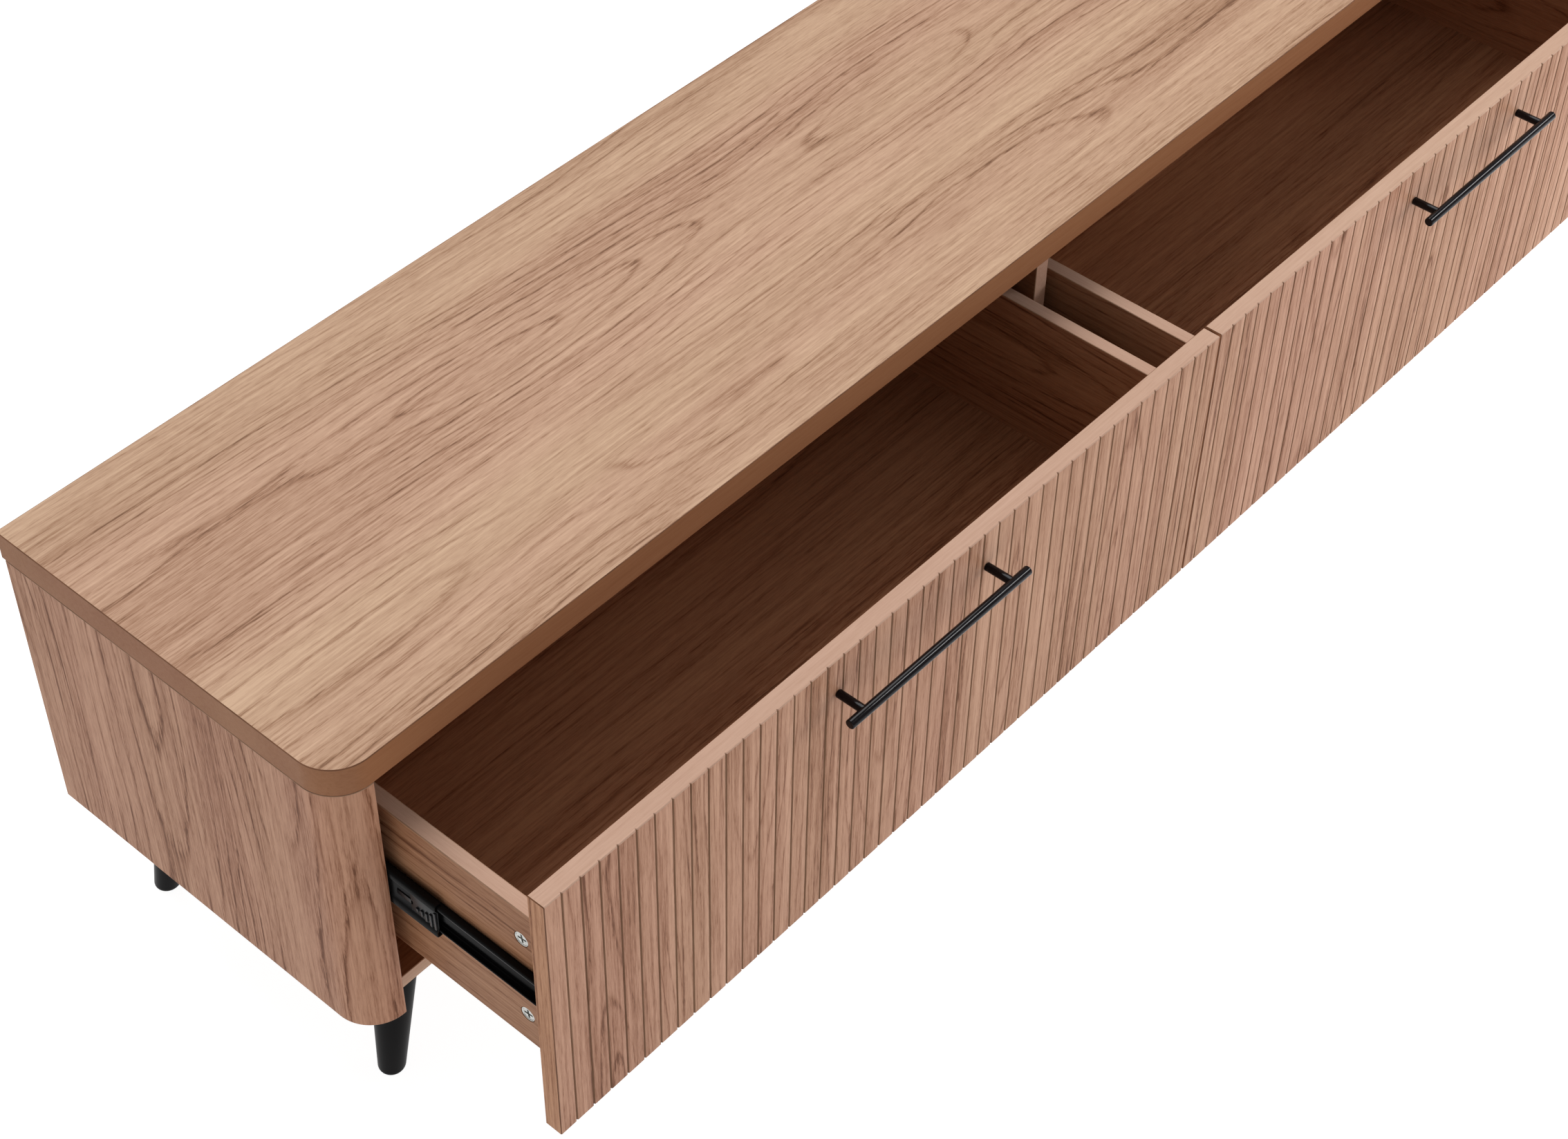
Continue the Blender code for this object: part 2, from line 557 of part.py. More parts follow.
def build_rail(name, web_x, depth, height, hand, low_y, length, carrier=None):
    points = channel_outline(0.0, depth, height, RAIL_SHEET, hand)
    mesh = outline_mesh(name, points, length)
    mesh.transform(Matrix.Rotation(math.pi / 2, 4, "X"))
    rail = bpy.data.objects.new(name, mesh)
    add_part(rail, "slide_steel", (web_x, low_y + length / 2, SLIDE_Z), carrier)


def build_slide(prefix, side_name, side_hand, drawer_hand, drawer, middle):
    """Outer channel on the case, middle channel, and inner channel on the drawer's side."""
    box_face_x = drawer_hand * BOX_CENTRE_X + side_hand * BOX_WIDTH / 2
    case_face_x = box_face_x + side_hand * SLIDE_GAP
    closed_y = RECESS_Y + RAIL_SETBACK
    build_rail(f"{prefix}_{side_name}_outer_rail", case_face_x - side_hand * TOUCH,
               OUTER_RAIL_DEPTH, RAIL_HEIGHT, -side_hand, closed_y, RAIL_LENGTH)
    mid_y = closed_y + MID_RAIL_SETBACK - MID_RAIL_SHARE * DRAWER_OPEN
    build_rail(f"{prefix}_{side_name}_mid_rail", case_face_x - side_hand * MID_WEB_OFFSET,
               MID_RAIL_DEPTH, MID_RAIL_HEIGHT, -side_hand, mid_y, MID_RAIL_LENGTH, middle)
    inner_y = FRONT_Y - DRAWER_OPEN + FRONT_THICKNESS + RAIL_SETBACK
    build_rail(f"{prefix}_{side_name}_inner_rail", box_face_x + side_hand * TOUCH,
               INNER_RAIL_DEPTH, INNER_RAIL_HEIGHT, side_hand, inner_y, RAIL_LENGTH, drawer)


def build_drawer(prefix, hand):
    """One drawer, drawn out by DRAWER_OPEN; hand is -1 for the left bay, +1 for the right."""
    face_y = FRONT_Y - DRAWER_OPEN
    drawer = carrier_at(f"{prefix}_carrier", hand * FRONT_CENTRE_X, face_y, SLIDE_Z)
    middle = carrier_at(f"{prefix}_mid_rail_carrier", hand * FRONT_CENTRE_X,
                        FRONT_Y - MID_RAIL_SHARE * DRAWER_OPEN, SLIDE_Z)
    build_front(prefix, hand, face_y, drawer)
    for side_name, side_hand in (("left", -1), ("right", 1)):
        build_box_side(prefix, side_name, side_hand, hand, face_y, drawer)
        build_slide(prefix, side_name, side_hand, hand, drawer, middle)
    build_box_back(prefix, hand, face_y, drawer)
    build_floor(prefix, hand, face_y, drawer)
    build_handle(prefix, hand, face_y, drawer)


clear_scene()
parts = make_collection("media_cabinet")
cutters = make_collection("cutters")
FINISHES = make_finishes()
build_case()
build_legs()
build_drawer("left_drawer", -1)
build_drawer("right_drawer", 1)
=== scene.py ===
"""Looks of a low media cabinet in walnut-grained laminate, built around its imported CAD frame.

Metres, +Z up, the front faces -Y. Every piece takes its place and overall size from the frame's
own boxes. The values below are the fine sizes that the frame's plain solids leave out.
"""

import json
import math

import bmesh
import bpy
from mathutils import Matrix, Vector


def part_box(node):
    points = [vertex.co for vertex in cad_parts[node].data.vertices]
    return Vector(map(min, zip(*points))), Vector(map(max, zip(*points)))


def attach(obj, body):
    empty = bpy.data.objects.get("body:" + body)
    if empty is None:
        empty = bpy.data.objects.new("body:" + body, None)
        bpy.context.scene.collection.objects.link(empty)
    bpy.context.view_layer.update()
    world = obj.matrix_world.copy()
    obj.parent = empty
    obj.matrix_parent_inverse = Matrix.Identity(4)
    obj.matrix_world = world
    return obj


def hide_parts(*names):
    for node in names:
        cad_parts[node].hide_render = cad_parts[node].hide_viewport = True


# ---- Camera and light ---------------------------------------------------------------------
CAMERA_PLACE = Vector((-1.6818, -1.1974, 2.0454))
CAMERA_RIGHT = Vector((0.6594, -0.7516, 0.0142))
CAMERA_UP = Vector((0.5318, 0.4798, 0.6978))
CAMERA_LENS = 63.48
CAMERA_SENSOR = 36.0
CAMERA_CLIP = (0.05, 100.0)
KEY_DIRECTION = Vector((-0.25, -0.50, -0.85))   # from above, behind and a little to the right
KEY_STRENGTH = 2.68
KEY_SPREAD = math.radians(50)
SKY_STRENGTH = 0.36
FILL_PLACE = Vector((2.5, -1.9, 1.0))
FILL_TARGET = Vector((0.4, -0.2, 0.25))
FILL_SIZE = 1.4
FILL_POWER = 62.0
FILL_COLOUR = (0.95, 1.0, 1.05)
STRIP_PLACE = Vector((2.55, -1.55, 2.45))        # long narrow lamp over the drawer fronts
STRIP_TILT = math.radians(30)                    # from straight down towards the back
STRIP_LENGTH = 3.9
STRIP_WIDTH = 0.55
STRIP_POWER = 120.0
FLOOR_SIZE = 40.0
FLOOR_GLOW = 0.95
FLOOR_SHADE = 0.20
BACKDROP_RADIUS = 19.0
BACKDROP_HEIGHT = 9.0
BACKDROP_GLOW = 1.1

# ---- Grain --------------------------------------------------------------------------------
HEART_SPACING = 0.085        # half the distance between two hearts of arched grain
HEART_DEPTH = 0.150
HEART_DRIFT = 0.13           # how far the hearts wander sideways
RINGS_PER_METRE = 95.0
RING_WOBBLE = 0.9
RING_ROUGHNESS = 0.36
BAND_WEIGHT = 1.15           # what each layer of the grain adds to the tone
LINE_WEIGHT = 0.44
THREAD_WEIGHT = 1.35
FIBRE_WEIGHT = 0.95
PORE_WEIGHT = 0.14
MEAN_TONE = 0.35

# ---- Boards -------------------------------------------------------------------------------
ARRIS = 0.0008
CORNER_RADIUS = 0.038        # front corners of the top and the sides, in plan
CORNER_STEPS = 24
FLUTE_PITCH = 0.020
FLUTE_WIDTH = 0.0022
FLUTE_DEPTH = 0.0013
FLUTE_LIP = 0.0003           # width of the rounded lip on each side
FLUTE_FLOOR = 0.14           # width of the bottom, as a share of the flute's width
FLUTE_LIP_DEPTH = 0.05       # depths as shares of the flute's depth
FLUTE_FLOOR_DEPTH = 0.97
CAM_BORE_PLAY = 0.0002
CAM_BORE_DEPTH = 0.0100
CAM_SLOT_LENGTH = 0.0094
CAM_SLOT_WIDTH = 0.0020
CAM_SLOT_DEPTH = 0.0024
CAM_RIM = 0.0012
CAM_CHAMFER = 0.0005
CAM_INNER_CHAMFER = 0.0004
CAM_TURN = math.radians(8)
NAIL_RADIUS = 0.0016
NAIL_HEAD = 0.0006
NAIL_CROWN = 0.0001
NAIL_CROWN_SHARE = 0.6
NAIL_SIDES = 16
NAIL_SPACING = 0.095
NAIL_EDGE_DISTANCE = 0.008

# ---- Turned pieces ------------------------------------------------------------------------
LATHE_SIDES = 64
LEG_TOP_RADIUS = 0.022
LEG_FOOT_RADIUS = 0.0126
LEG_FOOT_ROUNDING = 0.0055
PLATE_ROUNDING = 0.0006
PLATE_DRAFT = 0.0004
ROD_ROUNDING = 0.0009
POST_ROUNDING = 0.0006
SADDLE_PLAY = 0.0001
SADDLE_REACH = 2.5           # half the saddle cutter's length, in post radii
SCREW_SIDES = 32
SCREW_HEAD_HEIGHT = 0.0024
SCREW_HEAD_SKIRT = 0.8       # where the head's side ends, as a share of its height
SCREW_CROWN_RADIUS = 1.1     # in head radii
SCREW_SLOT_HALF_LENGTH = 0.55
SCREW_SLOT_HALF_WIDTH = 0.0005
SCREW_SLOT_DEPTH = 0.0014

# ---- Slides -------------------------------------------------------------------------------
SHEET = 0.0013
CHANNEL_BEND = 0.0019
OUTER_LIP = 0.0017
MID_LIP = 0.0028
INNER_LIP = 0.0024
RIB_HALF_HEIGHT = 0.0062
RIB_RISE = 0.0013
MID_RECESS_HALF_HEIGHT = 0.0108
MID_RECESS_DEPTH = 0.0026
BALL_RADIUS = 0.00145
BALL_PITCH = 0.0060
BALL_COUNT = 9
BALL_START = 0.006           # first ball behind the middle channel's front end
RETAINER_SHEET = 0.0006
RETAINER_LEAD = 0.004
RETAINER_HALF_HEIGHT = 0.0008
BUMPER_PLAY = 0.0004
BUMPER_LENGTH = 0.030
BUMPER_TONGUE = 0.046
BUMPER_PLATE = 0.0009
BUMPER_RISE = 0.0024
BUMPER_RIB = 0.0026
BUMPER_STEPS = 4
BUMPER_STEP_SHRINK = 0.18    # each rib is this share of the plate's half height shorter
BUMPER_STEP_TOP = 0.4        # first rib's upper end, as a share of its reach
BUMPER_STEP_DROP = 0.2
BUMPER_ROUNDING = 0.0003
SLIDE_SCREW_RADIUS = 0.00289
SLIDE_SCREW_HEIGHT = 0.0016
SLIDE_SCREW_ROUNDING = 0.001
SLIDE_SCREW_SIDES = 24
SLIDE_SCREW_LEVEL = 0.0100   # above the channel's axis
SLIDE_SCREW_PLACES = (0.10, 0.42, 0.90)

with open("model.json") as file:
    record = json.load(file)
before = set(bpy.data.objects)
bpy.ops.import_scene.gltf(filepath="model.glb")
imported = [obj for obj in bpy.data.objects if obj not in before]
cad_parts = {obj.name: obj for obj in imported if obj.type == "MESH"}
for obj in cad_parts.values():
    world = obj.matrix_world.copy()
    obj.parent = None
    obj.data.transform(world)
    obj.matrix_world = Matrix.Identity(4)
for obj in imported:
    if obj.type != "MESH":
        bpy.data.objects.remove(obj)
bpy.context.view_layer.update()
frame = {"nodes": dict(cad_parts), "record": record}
RECORD = frame["record"]
BODY_OF = {node: body for body, nodes in RECORD["behaviour"]["bodies"].items() for node in nodes}
DRAWERS = ("left_drawer", "right_drawer")
SIDES = (("left", -1), ("right", 1))


# ---- Material nodes -----------------------------------------------------------------------
def new_material(name):
    material = bpy.data.materials.new(name)
    material.use_nodes = True
    tree = material.node_tree
    return material, tree, tree.nodes["Principled BSDF"]


def add(tree, kind, inputs, **settings):
    """Add a node; an input is a value or the socket that feeds it."""
    made = tree.nodes.new(kind)
    for key, value in settings.items():
        setattr(made, key, value)
    for key, value in inputs.items():
        if isinstance(value, bpy.types.NodeSocket):
            tree.links.new(value, made.inputs[key])
        else:
            made.inputs[key].default_value = value
    return made


def calculate(tree, operation, first, second=0.0):
    return add(tree, "ShaderNodeMath", {0: first, 1: second}, operation=operation).outputs[0]


def multiply_add(tree, value, factor, addend):
    made = add(tree, "ShaderNodeMath", {0: value, 1: factor, 2: addend},
               operation="MULTIPLY_ADD")
    return made.outputs[0]


def noise(tree, vector, scale, detail=2.0, roughness=0.5):
    """Noise whose scale is one number, or three of them along, across and through the grain."""
    if isinstance(scale, tuple):
        vector = add(tree, "ShaderNodeVectorMath", {0: vector, 1: scale}, operation="MULTIPLY")
        vector = vector.outputs[0]
        scale = 1.0
    made = add(tree, "ShaderNodeTexNoise", {"Vector": vector, "Scale": scale, "Detail": detail,
                                            "Roughness": roughness})
    return made.outputs["Fac"]


def ramp(tree, factor, stops):
    """Colour ramp through (position, colour) stops; a single number stands for a grey."""
    made = add(tree, "ShaderNodeValToRGB", {"Fac": factor})
    elements = made.color_ramp.elements
    for index, (position, colour) in enumerate(stops):
        element = elements[index] if index < 2 else elements.new(position)
        element.position = position
        grey = isinstance(colour, float)
        element.color = (colour, colour, colour, 1.0) if grey else (*colour, 1.0)
    return made.outputs["Color"]


def bump(tree, shader, height, strength, distance):
    made = add(tree, "ShaderNodeBump",
               {"Height": height, "Strength": strength, "Distance": distance})
    tree.links.new(made.outputs["Normal"], shader.inputs["Normal"])


def along_grain(tree, grain):
    """Object coordinates in the order along, across and through the grain."""
    place = add(tree, "ShaderNodeTexCoord", {}).outputs["Object"]
    axes = add(tree, "ShaderNodeSeparateXYZ", {"Vector": place}).outputs
    order = {"X": "XYZ", "Y": "YXZ", "Z": "ZXY"}[grain]
    turned = dict(zip("XYZ", (axes[axis] for axis in order)))
    return add(tree, "ShaderNodeCombineXYZ", turned).outputs[0]


def laminate(name, grain, palette, figure=1.0, streaks=1.0, pores=1.0, roughness=0.46):
    """Printed walnut: growth lines in long arches, broad bands, fibres and short dark pores."""
    material, tree, shader = new_material(name)
    vector = along_grain(tree, grain)
    drift = noise(tree, vector, (0.8, 2.2, 2.2), detail=1.0)
    depth = noise(tree, vector, (1.5, 2.4, 2.4), detail=1.0)
    wobble = noise(tree, vector, (6.0, 26.0, 26.0), detail=2.0)
    threads = noise(tree, vector, (6.0, 300.0, 300.0), detail=3.0, roughness=0.66)
    bands = noise(tree, vector, (1.0, 19.0, 19.0), detail=3.0, roughness=0.6)
    fibres = noise(tree, vector, (45.0, 560.0, 560.0), detail=3.0, roughness=0.75)
    dashes = noise(tree, vector, (60.0, 800.0, 800.0), detail=1.0)
    fading = noise(tree, vector, (2.8, 18.0, 18.0), detail=1.0)
    warmth = noise(tree, vector, (0.7, 9.0, 9.0), detail=2.0)

    across = add(tree, "ShaderNodeVectorMath", {0: vector, 1: (0.0, 1.0, 1.0)},
                 operation="DOT_PRODUCT").outputs["Value"]
    across = multiply_add(tree, drift, HEART_DRIFT, across)
    from_heart = calculate(tree, "PINGPONG", across, HEART_SPACING)
    below_heart = multiply_add(tree, depth, HEART_DEPTH, -0.25 * HEART_DEPTH)
    squares = multiply_add(tree, from_heart, from_heart,
                           calculate(tree, "MULTIPLY", below_heart, below_heart))
    rings = calculate(tree, "MULTIPLY", calculate(tree, "SQRT", squares), RINGS_PER_METRE)
    rings = multiply_add(tree, wobble, RING_WOBBLE, rings)
    rings = multiply_add(tree, fibres, RING_ROUGHNESS, rings)
    line = ramp(tree, calculate(tree, "FRACT", rings),
                [(0.0, 0.10), (1.0, 0.10), (0.06, 0.0), (0.76, 0.04), (0.92, 1.0)])
    line = calculate(tree, "MULTIPLY", line, ramp(tree, fading, [(0.38, 0.30), (0.60, 1.0)]))
    pore = ramp(tree, dashes, [(0.54, 0.0), (0.70, 1.0)])

    start = MEAN_TONE - 0.5 * streaks * (BAND_WEIGHT + THREAD_WEIGHT + FIBRE_WEIGHT)
    tone = multiply_add(tree, bands, BAND_WEIGHT * streaks, start)
    tone = multiply_add(tree, line, LINE_WEIGHT * figure, tone)
    tone = multiply_add(tree, threads, THREAD_WEIGHT * streaks, tone)
    tone = multiply_add(tree, fibres, FIBRE_WEIGHT * streaks, tone)
    tone = multiply_add(tree, pore, PORE_WEIGHT * pores, tone)
    light, middle, brown, dark = palette
    colour = ramp(tree, tone, [(0.0, light), (1.0, dark), (0.40, middle), (0.72, brown)])
    cast = ramp(tree, warmth, [(0.38, (1.0, 1.0, 0.96)), (0.62, (1.0, 0.965, 0.955))])
    colour = add(tree, "ShaderNodeVectorMath", {0: colour, 1: cast}, operation="MULTIPLY")
    tree.links.new(colour.outputs[0], shader.inputs["Base Color"])
    tree.links.new(multiply_add(tree, tone, 0.12, roughness - 0.05), shader.inputs["Roughness"])
    relief = calculate(tree, "SUBTRACT", calculate(tree, "MULTIPLY", fibres, 0.4), pore)
    bump(tree, shader, relief, 0.30, 0.0002)
    shader.inputs["Specular IOR Level"].default_value = 0.08
    return material


def tint(palette, red, green, blue):
    return [(r * red, g * green, b * blue) for r, g, b in palette]


def edge_line(name, colour):
    """The narrow glued line where an edge band meets a board's face, rubbed in places."""
    material, tree, shader = new_material(name)
    place = add(tree, "ShaderNodeTexCoord", {}).outputs["Object"]
    rub = noise(tree, place, 35.0, detail=3.0)
    paler = tuple(1.45 * value for value in colour)
    tree.links.new(ramp(tree, rub, [(0.35, colour), (0.70, paler)]), shader.inputs["Base Color"])
    tree.links.new(ramp(tree, rub, [(0.3, 0.5), (0.7, 0.38)]), shader.inputs["Roughness"])
    bump(tree, shader, rub, 0.15, 0.0002)
    shader.inputs["Specular IOR Level"].default_value = 0.10
    return material


def black_finish(name, colour, roughness, metallic, specular, grain_scale):
    """Black lacquer or coated steel with a faint cloud in its gloss and a fine orange peel."""
    material, tree, shader = new_material(name)
    place = add(tree, "ShaderNodeTexCoord", {}).outputs["Object"]
    cloud = noise(tree, place, 28.0, detail=3.0)
    peel = noise(tree, place, grain_scale, detail=2.0)
    paler = tuple(1.7 * value for value in colour)
    tree.links.new(ramp(tree, cloud, [(0.3, colour), (0.75, paler)]), shader.inputs["Base Color"])
    gloss = ramp(tree, cloud, [(0.3, roughness - 0.05), (0.7, roughness + 0.06)])
    tree.links.new(gloss, shader.inputs["Roughness"])
    shader.inputs["Metallic"].default_value = metallic
    shader.inputs["Specular IOR Level"].default_value = specular
    bump(tree, shader, peel, 0.2, 0.0001)
    return material


def bright_steel(name, colour, roughness):
    """Zinc-plated or polished steel with small scratches."""
    material, tree, shader = new_material(name)
    place = add(tree, "ShaderNodeTexCoord", {}).outputs["Object"]
    scratches = noise(tree, place, (900.0, 120.0, 900.0), detail=2.0)
    cloud = noise(tree, place, 160.0, detail=2.0)
    duller = tuple(0.72 * value for value in colour)
    tree.links.new(ramp(tree, cloud, [(0.3, duller), (0.7, colour)]), shader.inputs["Base Color"])
    gloss = ramp(tree, scratches, [(0.3, roughness - 0.08), (0.7, roughness + 0.1)])
    tree.links.new(gloss, shader.inputs["Roughness"])
    shader.inputs["Metallic"].default_value = 1.0
    bump(tree, shader, scratches, 0.2, 0.00005)
    return material


WALNUT = [(0.560, 0.370, 0.254), (0.454, 0.284, 0.189), (0.334, 0.187, 0.114),
          (0.180, 0.088, 0.049)]
BAND = [(0.560, 0.375, 0.280), (0.490, 0.316, 0.230), (0.425, 0.260, 0.182),
        (0.325, 0.185, 0.122)]


def make_finishes():
    # The drawer boxes' walnut is darker and redder than the outside: partly the boards' own tone,
    # partly painted shade and bounce light inside the drawers.
    inner_long = tint(WALNUT, 0.94, 0.74, 0.59)
    inner_deep = tint(WALNUT, 0.78, 0.63, 0.51)
    return {
        "top": laminate("top_walnut", "X", WALNUT),
        # The top's edge band is darker than the sides' band: partly its own tone, partly painted
        # shade along its front edge over the open drawers.
        "top_edge": laminate("top_edge_band_with_shade", "X", tint(BAND, 0.60, 0.42, 0.28), 0.2, 0.5, 0.3),
        "side": laminate("side_walnut", "Z", tint(WALNUT, 0.94, 0.79, 0.75), 1.4, 1.5),
        "side_edge": laminate("side_edge_band", "Z", tint(BAND, 0.82, 0.68, 0.60), 0.2, 0.6, 0.3),
        "front": laminate("front_walnut", "Z", tint(WALNUT, 0.91, 0.78, 0.76), 1.1, 1.2),
        # The flutes' darker walnut is painted shade in the grooves.
        "flute": laminate("flute_walnut_painted_shade", "Z", tint(WALNUT, 0.55, 0.48, 0.42), 0.4, 0.6, 0.4),
        "pale_edge_x": laminate("pale_band_long", "X", BAND, 0.15, 0.5, 0.25),
        "pale_edge_y": laminate("pale_band_deep", "Y", BAND, 0.15, 0.5, 0.25),
        "inner_x": laminate("inner_walnut_long_with_shade", "X", inner_long, 0.6, 1.25, 0.5),
        "inner_y": laminate("inner_walnut_deep_with_shade", "Y", inner_deep),
        # The bottom panel and the divider get a much darker walnut: painted shade inside the case,
        # around the drawers.
        "shaded_case_x": laminate("case_walnut_long_painted_shade", "X", tint(WALNUT, 0.48, 0.36, 0.28), 0.6, 0.8),
        "shaded_case_y": laminate("case_walnut_deep_painted_shade", "Y", tint(WALNUT, 0.48, 0.36, 0.28), 0.6, 0.8),
        "front_end": laminate("front_end_band", "Z", tint(WALNUT, 1.00, 0.80, 0.66), 0.8, 1.2),
        "back": laminate("back_hardboard", "X", tint(BAND, 0.62, 0.58, 0.55), 0.3, 0.5, 0.5, 0.7),
        "edge_line": edge_line("glue_line", (0.150, 0.066, 0.034)),
        "pale_line": edge_line("rubbed_edge", (0.300, 0.175, 0.110)),
        "leg": black_finish("leg_lacquer", (0.0046, 0.0042, 0.0044), 0.36, 0.0, 0.07, 700.0),
        "handle": black_finish("handle_coat", (0.0040, 0.0028, 0.0034), 0.13, 0.0, 0.18, 900.0),
        "slide": black_finish("slide_coat", (0.0034, 0.0031, 0.0032), 0.34, 0.0, 0.11, 1200.0),
        "plastic": black_finish("bumper_plastic", (0.009, 0.009, 0.010), 0.38, 0.0, 0.35, 1500.0),
        "zinc": bright_steel("zinc_plate", (0.66, 0.66, 0.63), 0.32),
        "ball": bright_steel("ball_steel", (0.74, 0.74, 0.75), 0.16),
    }


# ---- Pieces -------------------------------------------------------------------------------
def make_piece(name, bm, materials, body, smooth_below=35.0):
    """Put a finished mesh in the scene, riding on a body."""
    mesh = bpy.data.meshes.new(name)
    bmesh.ops.recalc_face_normals(bm, faces=bm.faces)
    bm.to_mesh(mesh)
    bm.free()
    for key in materials:
        mesh.materials.append(FINISHES[key])
    mesh.shade_smooth()
    mesh.set_sharp_from_angle(angle=math.radians(smooth_below))
    piece = bpy.data.objects.new(name, mesh)
    bpy.context.scene.collection.objects.link(piece)
    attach(piece, body)
    return piece


def stand_in(node, bm, materials, smooth_below=35.0):
    """A finished mesh that takes a CAD node's place on that node's body."""
    piece = make_piece(f"{node}_finish", bm, materials, BODY_OF[node], smooth_below)
    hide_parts(node)
    return piece


def extra(name, node, bm, materials):
    """A small piece that the CAD leaves out, on the same body as a node."""
    piece = make_piece(name, bm, materials, BODY_OF[node])
    return piece


def cut(piece, cutters):
    """Cut other meshes out of a piece and keep the result as its mesh."""
    for cutter in cutters:
        boolean = piece.modifiers.new(cutter.name, "BOOLEAN")
        boolean.operation = "DIFFERENCE"
        boolean.object = cutter
    depsgraph = bpy.context.evaluated_depsgraph_get()
    mesh = bpy.data.meshes.new_from_object(piece.evaluated_get(depsgraph))
    piece.modifiers.clear()
    piece.data = mesh
    for cutter in cutters:
        bpy.data.objects.remove(cutter, do_unlink=True)


def cutter_from(name, bm):
    mesh = bpy.data.meshes.new(name)
    bmesh.ops.recalc_face_normals(bm, faces=bm.faces)
    bm.to_mesh(mesh)
    bm.free()
    cutter = bpy.data.objects.new(name, mesh)
    bpy.context.scene.collection.objects.link(cutter)
    return cutter


def box_into(bm, low, high):
    size = Vector(high) - Vector(low)
    centre = (Vector(high) + Vector(low)) / 2
    place = Matrix.Translation(centre) @ Matrix.Diagonal((*size, 1.0))
    return bmesh.ops.create_cube(bm, size=1.0, matrix=place)["verts"]


def round_edges(bm, width, material, steps=3, sharper_than=40.0):
    """Round every edge that turns sharply and give the new faces a material slot."""
    limit = math.radians(sharper_than)
    edges = [edge for edge in bm.edges if edge.is_manifold and edge.calc_face_angle() > limit]
    bmesh.ops.bevel(bm, geom=edges, offset=width, segments=steps, profile=0.5,
                    affect="EDGES", material=material)


def keep_flats_flat(piece):
    """Take the shading of a rounded edge out of the flat faces beside it."""
    weighted = piece.modifiers.new("flat_faces", "WEIGHTED_NORMAL")
    weighted.keep_sharp = True


def arc_points(centre, radius, start, end, steps):
    """Points of an arc in a plane, angles in degrees."""
    points = []
    for step in range(steps + 1):
        angle = math.radians(start + (end - start) * step / steps)
        points.append((centre[0] + radius * math.cos(angle), centre[1] + radius * math.sin(angle)))
    return points


def lathe(bm, profile, place, sides=LATHE_SIDES):
    """Turn (radius, height) points about the local Z axis that place puts in the world."""
    rings = []
    for radius, height in profile:
        count = sides if radius > 0 else 1
        turns = [math.tau * k / count for k in range(count)]
        rings.append([bm.verts.new(place @ Vector((radius * math.cos(t), radius * math.sin(t),
                                                   height))) for t in turns])
    for lower, upper in zip(rings, rings[1:]):
        for k in range(sides):
            corners = [lower[k % len(lower)], lower[(k + 1) % len(lower)],
                       upper[(k + 1) % len(upper)], upper[k % len(upper)]]
            bm.faces.new(list(dict.fromkeys(corners)))


def facing(axis):
    """Turn the local Z axis to a world axis, named with its sign."""
    towards = Vector([float(axis[1] == letter) for letter in "XYZ"])
    if axis[0] == "-":
        towards.negate()
    return towards.to_track_quat("Z", "Y").to_matrix().to_4x4()


def rod_profile(radius, length, rounding=ROD_ROUNDING):
    """Half outline of a rod from its lower to its upper end, both rounded."""
    start = arc_points((radius - rounding, rounding), rounding, -90, 0, 5)
    end = arc_points((radius - rounding, length - rounding), rounding, 0, 90, 5)
    return [(0.0, 0.0)] + start + end + [(0.0, length)]


def box_board(node, face, edge, line="pale_line"):
    """A flat board with banded edges: its broad faces, its edges and the rounded arris."""
    low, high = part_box(node)
    size = high - low
    thin = min(range(3), key=lambda axis: size[axis])
    bm = bmesh.new()
    box_into(bm, low, high)
    bm.normal_update()
    for side in bm.faces:
        side.material_index = 0 if abs(side.normal[thin]) > 0.5 else 1
    round_edges(bm, ARRIS, material=2)
    piece = stand_in(node, bm, [face, edge, line])
    keep_flats_flat(piece)
    return piece


def outline_board(node, outline, face, edge, line, broad_axis):
    """A board from its outline in plan; broad_axis says which way its broad faces look."""
    low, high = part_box(node)
    bm = bmesh.new()
    base = bm.faces.new([bm.verts.new((x, y, low.z)) for x, y in outline])
    lifted = bmesh.ops.extrude_face_region(bm, geom=[base])
    moved = [item for item in lifted["geom"] if isinstance(item, bmesh.types.BMVert)]
    bmesh.ops.translate(bm, verts=moved, vec=(0.0, 0.0, high.z - low.z))
    bmesh.ops.recalc_face_normals(bm, faces=bm.faces)
    for side in bm.faces:
        flat = abs(side.normal.z) > 0.5
        side.material_index = 0 if flat == (broad_axis == "Z") else 1
    round_edges(bm, ARRIS, material=2)
    for side in bm.faces:
        if side.material_index == 2 and side.calc_center_median().z < high.z - ARRIS:
            side.material_index = 1
    piece = stand_in(node, bm, [face, edge, line])
    keep_flats_flat(piece)
    return piece


def build_top():
    low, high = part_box("top_panel")
    radius = CORNER_RADIUS
    outline = [(high.x, high.y), (low.x, high.y)]
    outline += arc_points((low.x + radius, low.y + radius), radius, 180, 270, CORNER_STEPS)
    outline += arc_points((high.x - radius, low.y + radius), radius, 270, 360, CORNER_STEPS)
    outline_board("top_panel", outline, "top", "top_edge", "edge_line", "Z")


def build_side_panel(side_name, hand):
    node = f"{side_name}_side_panel"
    low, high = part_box(node)
    outer, inner = (low.x, high.x) if hand < 0 else (high.x, low.x)
    radius = CORNER_RADIUS
    arc = arc_points((outer - hand * radius, low.y + radius), radius,
                     270 + 90 * hand, 270, CORNER_STEPS)
    outline = [(inner, high.y), (outer, high.y)] + arc + [(inner, low.y)]
    outline_board(node, outline, "side", "side_edge", "pale_line", "XY")


